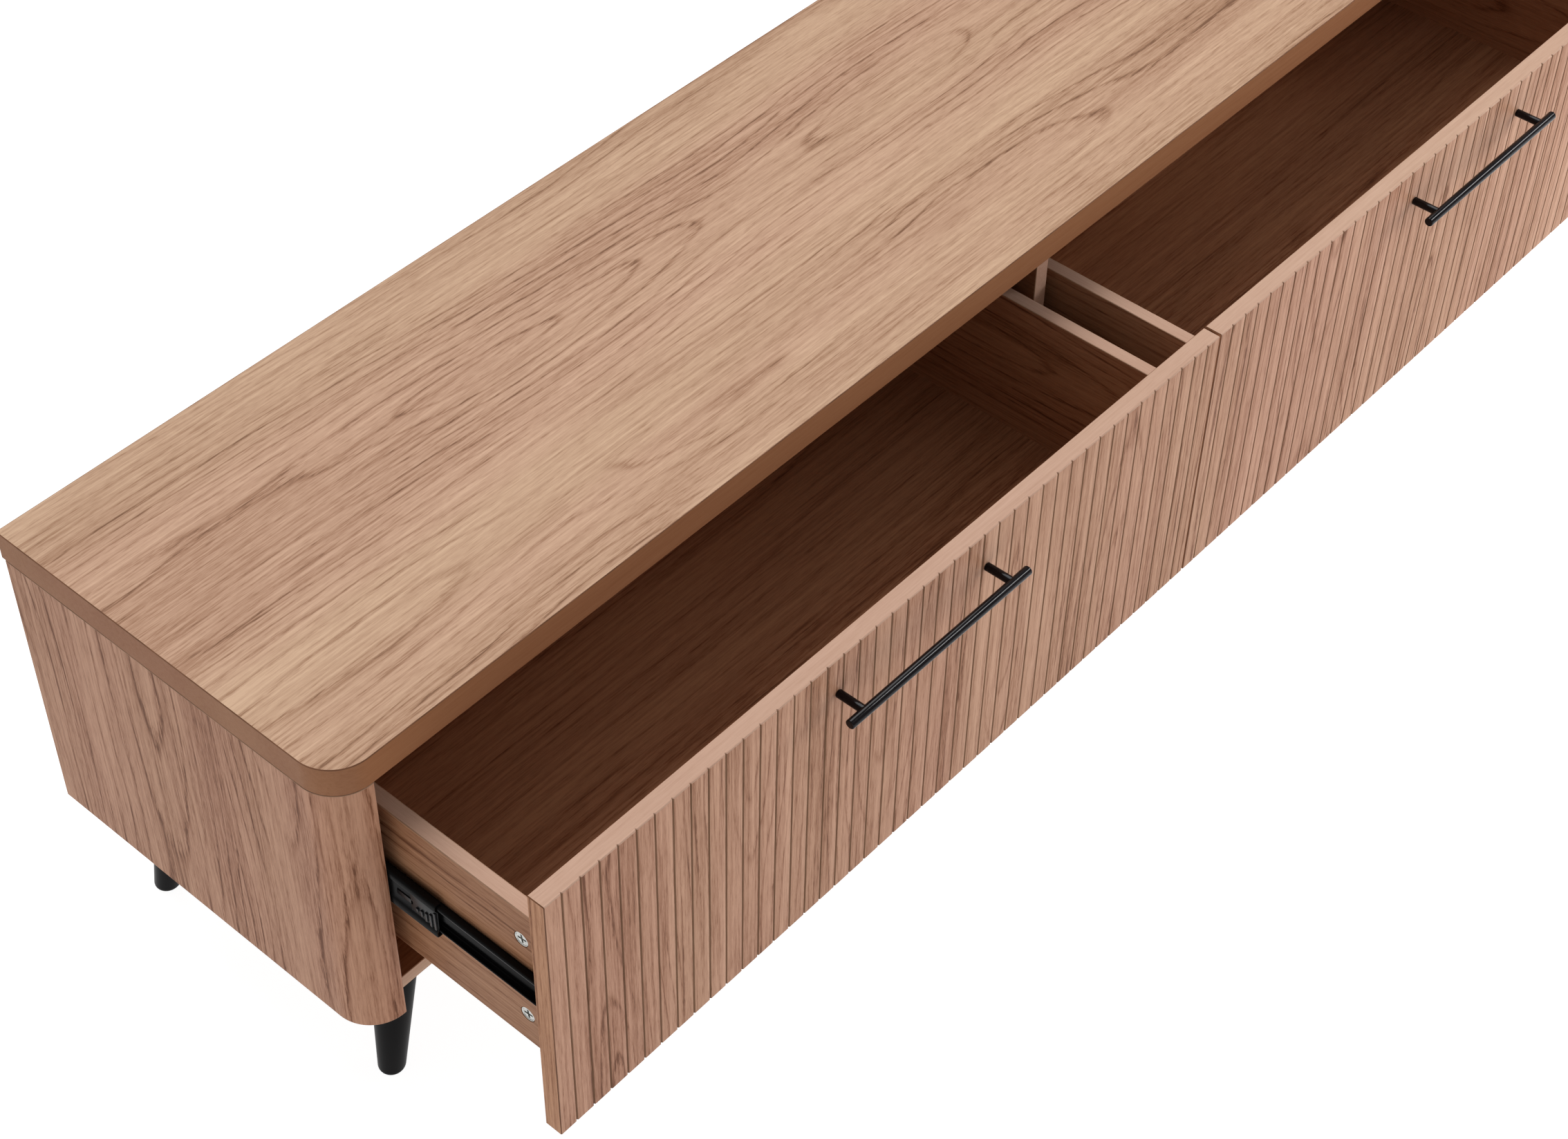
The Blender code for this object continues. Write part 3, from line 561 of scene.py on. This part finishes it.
def build_back_nails():
    for side_name, hand in SIDES:
        node = f"{side_name}_back_panel"
        low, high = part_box(node)
        bm = bmesh.new()
        span = high.x - low.x - 2 * NAIL_EDGE_DISTANCE
        count = round(span / NAIL_SPACING)
        rows = (low.z + NAIL_EDGE_DISTANCE, high.z - NAIL_EDGE_DISTANCE)
        profile = [(0.0, -NAIL_HEAD), (NAIL_RADIUS, -NAIL_HEAD), (NAIL_RADIUS, -NAIL_CROWN),
                   (NAIL_CROWN_SHARE * NAIL_RADIUS, 0.0), (0.0, 0.0)]
        for row in rows:
            for index in range(count + 1):
                x = low.x + NAIL_EDGE_DISTANCE + span * index / count
                place = Matrix.Translation((x, high.y, row)) @ facing("+Y")
                lathe(bm, profile, place, NAIL_SIDES)
        extra(f"{side_name}_back_nails", node, bm, ["zinc"])


def build_case():
    build_top()
    for side_name, hand in SIDES:
        build_side_panel(side_name, hand)
        box_board(f"{side_name}_back_panel", "back", "back")
    # The bottom panel and the divider take the darker walnut that paints the shade inside the
    # case.
    box_board("bottom_panel", "shaded_case_x", "pale_edge_x")
    box_board("center_divider", "shaded_case_y", "pale_edge_y")
    build_back_nails()


# ---- Legs ---------------------------------------------------------------------------------
def end_centre(node, upper):
    """Centre of the highest or lowest ring of a CAD leg."""
    points = [vertex.co for vertex in frame["nodes"][node].data.vertices]
    level = max(p.z for p in points) if upper else min(p.z for p in points)
    ring = [p for p in points if abs(p.z - level) < 1e-5]
    low = Vector((min(p.x for p in ring), min(p.y for p in ring), level))
    high = Vector((max(p.x for p in ring), max(p.y for p in ring), level))
    return (low + high) / 2


def leaning(top, foot):
    """A frame on a leg's top end that leans with it while its level faces stay level."""
    drop = top.z - foot.z
    place = Matrix.Translation(top)
    place[0][2] = (top.x - foot.x) / drop
    place[1][2] = (top.y - foot.y) / drop
    return place


def build_leg(name):
    top = end_centre(name, upper=True)
    foot = end_centre(name, upper=False)
    length = top.z - foot.z
    edge = ROD_ROUNDING
    rounding = LEG_FOOT_ROUNDING
    profile = [(0.0, 0.0)]
    profile += arc_points((LEG_TOP_RADIUS - edge, -edge), edge, 90, 0, 4)
    profile += arc_points((LEG_FOOT_RADIUS - rounding, rounding - length), rounding, 0, -90, 10)
    profile += [(0.0, -length)]
    bm = bmesh.new()
    lathe(bm, profile, leaning(top, foot))
    stand_in(name, bm, ["leg"])


def build_leg_plate(name):
    node = f"{name}_plate"
    top = end_centre(node, upper=True)
    leg_top = end_centre(name, upper=True)
    thickness = top.z - leg_top.z
    bm = bmesh.new()
    edge = PLATE_ROUNDING
    profile = [(0.0, 0.0)] + arc_points((LEG_TOP_RADIUS - edge, -edge), edge, 90, 0, 3)
    profile += [(LEG_TOP_RADIUS - PLATE_DRAFT, -thickness), (0.0, -thickness)]
    lathe(bm, profile, Matrix.Translation(top))
    stand_in(node, bm, ["slide"])


def build_legs():
    for name in ("front_left_leg", "front_right_leg", "rear_left_leg", "rear_right_leg",
                 "center_leg"):
        build_leg(name)
        build_leg_plate(name)


# ---- Drawers ------------------------------------------------------------------------------
def flute_profile(low_x, high_x):
    """(x, depth behind the face, in a flute) points across a drawer front's face."""
    middle = (low_x + high_x) / 2
    count = round((high_x - low_x) / FLUTE_PITCH) - 1
    half = FLUTE_WIDTH / 2
    lip_depth = FLUTE_LIP_DEPTH * FLUTE_DEPTH
    floor_half = FLUTE_FLOOR * half
    floor_depth = FLUTE_FLOOR_DEPTH * FLUTE_DEPTH
    groove = ((-half - FLUTE_LIP, 0.0, False), (-half, lip_depth, True),
              (-floor_half, floor_depth, True), (floor_half, floor_depth, True),
              (half, lip_depth, True), (half + FLUTE_LIP, 0.0, False))
    points = [(low_x, ARRIS, False), (low_x + ARRIS, 0.0, False)]
    for index in range(count):
        x = middle + (index - (count - 1) / 2) * FLUTE_PITCH
        points += [(x + step, depth, inside) for step, depth, inside in groove]
    points += [(high_x - ARRIS, 0.0, False), (high_x, ARRIS, False)]
    return points


def build_front(prefix):
    """A fluted board, all in quads: a row of points on the face, one on the back, four levels."""
    node = f"{prefix}_front"
    low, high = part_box(node)
    profile = flute_profile(low.x, high.x)
    last = len(profile) - 1
    levels = ((low.z, ARRIS), (low.z + ARRIS, 0.0), (high.z - ARRIS, 0.0), (high.z, ARRIS))
    bm = bmesh.new()
    face_rows = []
    back_rows = []
    for z, inset in levels:
        face_row = []
        back_row = []
        for index, (x, depth, inside) in enumerate(profile):
            at_end = index in (0, last)
            shift = inset if index == 0 else -inset if index == last else 0.0
            face_y = low.y + depth + (0.0 if at_end else inset)
            back_y = high.y - (ARRIS if at_end else inset)
            face_row.append(bm.verts.new((x + shift, face_y, z)))
            back_row.append(bm.verts.new((x + shift, back_y, z)))
        face_rows.append(face_row)
        back_rows.append(back_row)
    face, flute, band, ends, back, line = range(6)
    for level in range(len(levels) - 1):
        middle = level == 1
        for index in range(last):
            in_flute = profile[index][2] and profile[index + 1][2]
            at_end = index in (0, last - 1)
            # Faces inside a flute take the darker walnut, which paints the shade in the groove.
            front = line if at_end else band if not middle else flute if in_flute else face
            for rows, material in ((face_rows, front), (back_rows, back if middle else line)):
                quad = [rows[level][index], rows[level][index + 1],
                        rows[level + 1][index + 1], rows[level + 1][index]]
                bm.faces.new(quad).material_index = material
        for index in (0, last):
            quad = [face_rows[level][index], back_rows[level][index],
                    back_rows[level + 1][index], face_rows[level + 1][index]]
            bm.faces.new(quad).material_index = ends if middle else line
    for level in (0, len(levels) - 1):
        for index in range(last):
            quad = [face_rows[level][index], face_rows[level][index + 1],
                    back_rows[level][index + 1], back_rows[level][index]]
            bm.faces.new(quad).material_index = band
    materials = ["front", "flute", "pale_edge_x", "front_end", "inner_x", "edge_line"]
    stand_in(node, bm, materials, smooth_below=20.0)


def cam_axis(node, hand):
    """Centre of a cam's outer face and the matrix whose local Z looks out of the board."""
    low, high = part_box(node)
    face_x = low.x if hand < 0 else high.x
    centre = Vector((face_x, (low.y + high.y) / 2, (low.z + high.z) / 2))
    return Matrix.Translation(centre) @ facing("-X" if hand < 0 else "+X")


def build_cam(node, hand):
    """Cam lock: a rimmed disc with a cross recess."""
    low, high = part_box(node)
    radius = (high.z - low.z) / 2
    depth = high.x - low.x
    rim = radius - CAM_RIM
    profile = [(0.0, -CAM_CHAMFER), (rim - CAM_INNER_CHAMFER, -CAM_CHAMFER), (rim, 0.0),
               (radius - CAM_CHAMFER, 0.0), (radius, -CAM_CHAMFER), (radius, -depth),
               (0.0, -depth)]
    place = cam_axis(node, hand)
    bm = bmesh.new()
    lathe(bm, profile, place)
    cam = stand_in(node, bm, ["zinc"])
    cutters = []
    for turn in (0.0, math.pi / 2):
        slot = bmesh.new()
        box_into(slot, (-CAM_SLOT_LENGTH / 2, -CAM_SLOT_WIDTH / 2, -CAM_SLOT_DEPTH),
                 (CAM_SLOT_LENGTH / 2, CAM_SLOT_WIDTH / 2, CAM_SLOT_DEPTH))
        slot.transform(place @ Matrix.Rotation(turn + CAM_TURN, 4, "Z"))
        cutters.append(cutter_from(f"{node}_slot_{turn:.0f}", slot))
    cut(cam, cutters)


def build_box_side(prefix, side_name, hand):
    node = f"{prefix}_{side_name}_side"
    side = box_board(node, "inner_y", "pale_edge_y")
    cutters = []
    for level in ("upper", "lower"):
        cam = f"{node}_{level}_cam"
        low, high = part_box(cam)
        radius = (high.z - low.z) / 2 + CAM_BORE_PLAY
        bore = bmesh.new()
        lathe(bore, rod_profile(radius, 2 * CAM_BORE_DEPTH),
              cam_axis(cam, hand) @ Matrix.Translation((0, 0, -CAM_BORE_DEPTH)))
        cutters.append(cutter_from(f"{cam}_bore", bore))
        build_cam(cam, hand)
    cut(side, cutters)
    keep_flats_flat(side)


def build_floor(prefix):
    """The drawer's floor, as far as it shows between the boards around it."""
    node = f"{prefix}_floor"
    low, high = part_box(node)
    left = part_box(f"{prefix}_left_side")[1].x
    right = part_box(f"{prefix}_right_side")[0].x
    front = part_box(f"{prefix}_front")[1].y
    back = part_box(f"{prefix}_back")[0].y
    bm = bmesh.new()
    box_into(bm, (left, front, low.z), (right, back, high.z))
    round_edges(bm, ARRIS / 4, material=0, steps=2)
    stand_in(node, bm, ["inner_x"])


# ---- Handles ------------------------------------------------------------------------------
def build_handle(prefix):
    node = f"{prefix}_handle_bar"
    low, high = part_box(node)
    radius = (high.z - low.z) / 2
    axis = (low + high) / 2
    bm = bmesh.new()
    place = Matrix.Translation((low.x, axis.y, axis.z)) @ facing("+X")
    lathe(bm, rod_profile(radius, high.x - low.x), place)
    stand_in(node, bm, ["handle"])
    for side_name, _ in SIDES:
        build_post(f"{prefix}_handle_{side_name}_post", axis, radius)
        build_handle_screw(f"{prefix}_handle_{side_name}_screw")


def build_post(node, bar_axis, bar_radius):
    """A post with a small foot on the drawer front, its other end shaped round the bar."""
    low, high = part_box(node)
    radius = (high.x - low.x) / 2
    x = (low.x + high.x) / 2
    z = (low.z + high.z) / 2
    length = high.y - bar_axis.y
    inset = radius - POST_ROUNDING
    profile = [(0.0, 0.0), (inset, 0.0)]
    profile += arc_points((inset, POST_ROUNDING), POST_ROUNDING, -90, 0, 4)
    profile += [(radius, length), (0.0, length)]
    bm = bmesh.new()
    lathe(bm, profile, Matrix.Translation((x, high.y, z)) @ facing("-Y"))
    post = stand_in(node, bm, ["handle"])
    saddle = bmesh.new()
    half = SADDLE_REACH * radius
    lathe(saddle, rod_profile(bar_radius + SADDLE_PLAY, 2 * half),
          Matrix.Translation((x - half, bar_axis.y, bar_axis.z)) @ facing("+X"))
    cut(post, [cutter_from(f"{node}_saddle", saddle)])


def build_handle_screw(node):
    """A pan-head screw with a cross recess, its head on the back of the drawer front."""
    low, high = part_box(node)
    head = (high.x - low.x) / 2
    centre = (low + high) / 2
    place = Matrix.Translation((centre.x, high.y, centre.z)) @ facing("+Y")
    height = SCREW_HEAD_HEIGHT
    crown_radius = SCREW_CROWN_RADIUS * head
    crown = arc_points((0.0, -crown_radius), crown_radius, 78, 36, 6)
    profile = [(0.0, crown[0][1])] + crown
    profile += [(head, -height * SCREW_HEAD_SKIRT), (head, -height), (0.0, -height)]
    bm = bmesh.new()
    lathe(bm, profile, place, SCREW_SIDES)
    screw = stand_in(node, bm, ["zinc"])
    cutters = []
    corner = Vector((head * SCREW_SLOT_HALF_LENGTH, SCREW_SLOT_HALF_WIDTH, SCREW_SLOT_DEPTH))
    for turn in (0.0, math.pi / 2):
        slot = bmesh.new()
        box_into(slot, -corner, corner)
        slot.transform(place @ Matrix.Rotation(turn, 4, "Z"))
        cutters.append(cutter_from(f"{node}_slot_{turn:.0f}", slot))
    cut(screw, cutters)


# ---- Slides -------------------------------------------------------------------------------
def bend_corners(points, radius, steps=4):
    """Replace each inner corner of an open line by an arc."""
    line = [Vector(points[0])]
    for before, corner, after in zip(points, points[1:], points[2:]):
        corner = Vector(corner)
        towards = (Vector(before) - corner)
        away = (Vector(after) - corner)
        reach = min(radius, 0.48 * towards.length, 0.48 * away.length)
        start = corner + towards.normalized() * reach
        end = corner + away.normalized() * reach
        for step in range(steps + 1):
            t = step / steps
            line.append(start * (1 - t) ** 2 + corner * 2 * t * (1 - t) + end * t ** 2)
    line.append(Vector(points[-1]))
    return line


def channel_line(depth, height, lip, rib_half_height, rib_rise):
    """Middle line of a ribbed C section: (distance from the web's back, height above axis)."""
    web = SHEET / 2
    edge = depth - SHEET / 2
    flange = height / 2 - SHEET / 2
    upper = [(edge, height / 2 - lip - SHEET / 2), (edge, flange), (web, flange),
             (web, rib_half_height + rib_rise), (web + rib_rise, rib_half_height)]
    lower = [(x, -z) for x, z in reversed(upper)]
    return bend_corners(upper + lower, CHANNEL_BEND)


def build_rail(node, web_hand, lip, rib_half_height=RIB_HALF_HEIGHT, rib_rise=RIB_RISE):
    """A folded channel; its web lies on the side that web_hand points to."""
    low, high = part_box(node)
    web_x = low.x if web_hand < 0 else high.x
    axis_z = (low.z + high.z) / 2
    bm = bmesh.new()
    rows = []
    for point in channel_line(high.x - low.x, high.z - low.z, lip, rib_half_height, rib_rise):
        x = web_x - web_hand * point.x
        rows.append([bm.verts.new((x, y, axis_z + point.y)) for y in (low.y, high.y)])
    for first, second in zip(rows, rows[1:]):
        bm.faces.new([first[0], first[1], second[1], second[0]])
    rail = stand_in(node, bm, ["slide"], smooth_below=50.0)
    sheet = rail.modifiers.new("sheet", "SOLIDIFY")
    sheet.thickness = SHEET
    sheet.offset = 0.0
    return rail


def build_ball_retainers(prefix, side_name):
    """Two rows of balls in thin strips, between the middle and the inner channel."""
    mid = f"{prefix}_{side_name}_mid_rail"
    inner = f"{prefix}_{side_name}_inner_rail"
    mid_low, mid_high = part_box(mid)
    inner_low, inner_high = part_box(inner)
    x = (mid_low.x + mid_high.x + inner_low.x + inner_high.x) / 4
    axis_z = (mid_low.z + mid_high.z) / 2
    ball_z = (mid_high.z - SHEET + inner_high.z) / 2 - axis_z
    start_y = mid_low.y + BALL_START
    balls = bmesh.new()
    strips = bmesh.new()
    for up in (-1, 1):
        z = axis_z + up * ball_z
        for index in range(BALL_COUNT):
            place = Matrix.Translation((x, start_y + index * BALL_PITCH, z))
            bmesh.ops.create_uvsphere(balls, u_segments=16, v_segments=10,
                                      radius=BALL_RADIUS, matrix=place)
        for shift in (-1, 1):
            edge_x = x + shift * (BALL_RADIUS + RETAINER_SHEET)
            low = (edge_x - RETAINER_SHEET / 2, start_y - RETAINER_LEAD, z - RETAINER_HALF_HEIGHT)
            high = (edge_x + RETAINER_SHEET / 2, start_y + BALL_COUNT * BALL_PITCH,
                    z + RETAINER_HALF_HEIGHT)
            box_into(strips, low, high)
    name = f"{prefix}_{side_name}"
    extra(f"{name}_slide_balls", mid, balls, ["ball"])
    extra(f"{name}_ball_retainer", mid, strips, ["plastic"])


def build_rail_bumper(prefix, side_name, hand):
    """Moulded stop in the recess of the middle channel's front end: a plate with raised ribs."""
    mid = f"{prefix}_{side_name}_mid_rail"
    low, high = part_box(mid)
    web_x = low.x if hand < 0 else high.x
    axis_z = (low.z + high.z) / 2
    back = web_x - hand * MID_RECESS_DEPTH
    half = MID_RECESS_HALF_HEIGHT - BUMPER_PLAY
    blocks = [(BUMPER_PLAY, BUMPER_LENGTH, -half, half, BUMPER_PLATE),
              (BUMPER_PLAY, BUMPER_RIB, -half, half, BUMPER_RISE)]
    for index in range(BUMPER_STEPS):
        start = BUMPER_RIB * (2 * index + 2)
        reach = half * (1 - BUMPER_STEP_SHRINK * index)
        top = reach * (BUMPER_STEP_TOP - BUMPER_STEP_DROP * index)
        blocks.append((start, start + BUMPER_RIB, -reach, top, BUMPER_RISE))
    blocks.append((BUMPER_LENGTH - BUMPER_RIB, BUMPER_TONGUE, -BUMPER_RIB, BUMPER_RIB,
                   BUMPER_PLATE))
    bm = bmesh.new()
    for y_start, y_end, z_low, z_high, rise in blocks:
        front = back + hand * rise
        box_into(bm, (min(back, front), low.y + y_start, axis_z + z_low),
                 (max(back, front), low.y + y_end, axis_z + z_high))
    round_edges(bm, BUMPER_ROUNDING, material=0, steps=2)
    extra(f"{prefix}_{side_name}_rail_bumper", mid, bm, ["plastic"])


def build_rail_screws(prefix, side_name, hand):
    """Three pan-head screws through the inner channel's web into the drawer's side."""
    inner = f"{prefix}_{side_name}_inner_rail"
    low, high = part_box(inner)
    web_x = high.x if hand < 0 else low.x
    face_x = web_x + hand * SHEET
    screw_z = (low.z + high.z) / 2 + SLIDE_SCREW_LEVEL
    length = high.y - low.y
    radius = SLIDE_SCREW_RADIUS
    edge = SLIDE_SCREW_ROUNDING
    profile = [(0.0, SLIDE_SCREW_HEIGHT)]
    profile += arc_points((radius - edge, SLIDE_SCREW_HEIGHT - edge), edge, 90, 0, 4)
    profile += [(radius, 0.0), (0.0, 0.0)]
    bm = bmesh.new()
    for share in SLIDE_SCREW_PLACES:
        place = Matrix.Translation((face_x, low.y + share * length, screw_z))
        lathe(bm, profile, place @ facing("-X" if hand < 0 else "+X"), SLIDE_SCREW_SIDES)
    extra(f"{prefix}_{side_name}_slide_screws", inner, bm, ["slide"])


def build_slide(prefix, side_name, hand):
    build_rail(f"{prefix}_{side_name}_outer_rail", hand, OUTER_LIP)
    build_rail(f"{prefix}_{side_name}_mid_rail", hand, MID_LIP, MID_RECESS_HALF_HEIGHT,
               MID_RECESS_DEPTH)
    build_rail(f"{prefix}_{side_name}_inner_rail", -hand, INNER_LIP)
    build_ball_retainers(prefix, side_name)
    build_rail_bumper(prefix, side_name, hand)
    build_rail_screws(prefix, side_name, hand)


def build_drawer(prefix):
    build_front(prefix)
    for side_name, hand in SIDES:
        build_box_side(prefix, side_name, hand)
        build_slide(prefix, side_name, hand)
    box_board(f"{prefix}_back", "inner_x", "pale_edge_x")
    build_floor(prefix)
    build_handle(prefix)


# ---- Stage --------------------------------------------------------------------------------
def build_stage_piece(name, bm, shade, glow):
    """A matt white surface of the studio that glows a little, and isn't part of the object."""
    mesh = bpy.data.meshes.new(name)
    bm.to_mesh(mesh)
    bm.free()
    material, _, shader = new_material(name)
    shader.inputs["Base Color"].default_value = (shade, shade, shade, 1.0)
    shader.inputs["Roughness"].default_value = 1.0
    shader.inputs["Specular IOR Level"].default_value = 0.0
    shader.inputs["Emission Color"].default_value = (1.0, 1.0, 1.0, 1.0)
    shader.inputs["Emission Strength"].default_value = glow
    mesh.materials.append(material)
    piece = bpy.data.objects.new(name, mesh)
    bpy.context.scene.collection.objects.link(piece)
    return piece


def build_studio():
    """A pale floor, and far round it a white wall that is seen but lights nothing."""
    floor = bmesh.new()
    bmesh.ops.create_grid(floor, x_segments=1, y_segments=1, size=FLOOR_SIZE / 2)
    build_stage_piece("studio_floor", floor, FLOOR_SHADE, FLOOR_GLOW)
    wall = bmesh.new()
    bmesh.ops.create_cone(wall, segments=LATHE_SIDES, cap_ends=False, radius1=BACKDROP_RADIUS,
                          radius2=BACKDROP_RADIUS, depth=BACKDROP_HEIGHT,
                          matrix=Matrix.Translation((0.0, 0.0, BACKDROP_HEIGHT / 2)))
    backdrop = build_stage_piece("studio_wall", wall, FLOOR_SHADE, BACKDROP_GLOW)
    backdrop.visible_diffuse = False
    backdrop.visible_glossy = False
    backdrop.visible_shadow = False


def place_light(light, place, direction):
    lamp = bpy.data.objects.new(light.name, light)
    lamp.location = place
    lamp.rotation_mode = "QUATERNION"
    lamp.rotation_quaternion = direction.to_track_quat("-Z", "Y")
    lamp.visible_camera = False
    bpy.context.scene.collection.objects.link(lamp)
    return lamp


def build_lights():
    """Sky, sun-like key, a soft fill that adds no gloss, and a strip that adds only gloss."""
    world = bpy.data.worlds.new("studio")
    world.use_nodes = True
    background = world.node_tree.nodes["Background"]
    background.inputs["Color"].default_value = (1.0, 1.0, 1.0, 1.0)
    background.inputs["Strength"].default_value = SKY_STRENGTH
    bpy.context.scene.world = world
    key = bpy.data.lights.new("key", "SUN")
    key.energy = KEY_STRENGTH
    key.angle = KEY_SPREAD
    place_light(key, -3.0 * KEY_DIRECTION, KEY_DIRECTION)
    fill = bpy.data.lights.new("fill", "AREA")
    fill.energy = FILL_POWER
    fill.size = FILL_SIZE
    fill.color = FILL_COLOUR
    place_light(fill, FILL_PLACE, FILL_TARGET - FILL_PLACE).visible_glossy = False
    strip = bpy.data.lights.new("strip", "AREA")
    strip.shape = "RECTANGLE"
    strip.energy = STRIP_POWER
    strip.size = STRIP_LENGTH
    strip.size_y = STRIP_WIDTH
    tilted = Vector((0.0, math.sin(STRIP_TILT), -math.cos(STRIP_TILT)))
    place_light(strip, STRIP_PLACE, tilted).visible_diffuse = False


def build_camera():
    camera = bpy.data.cameras.new("camera")
    camera.lens = CAMERA_LENS
    camera.sensor_width = CAMERA_SENSOR
    camera.clip_start, camera.clip_end = CAMERA_CLIP
    right = CAMERA_RIGHT.normalized()
    back = right.cross(CAMERA_UP).normalized()
    up = back.cross(right)
    holder = bpy.data.objects.new("camera", camera)
    axes = Matrix((right, up, back)).transposed()
    holder.matrix_world = Matrix.Translation(CAMERA_PLACE) @ axes.to_4x4()
    bpy.context.scene.collection.objects.link(holder)
    bpy.context.scene.camera = holder


bpy.context.scene.view_settings.view_transform = "Standard"
FINISHES = make_finishes()
build_camera()
build_lights()
build_studio()
build_case()
build_legs()
for drawer in DRAWERS:
    build_drawer(drawer)
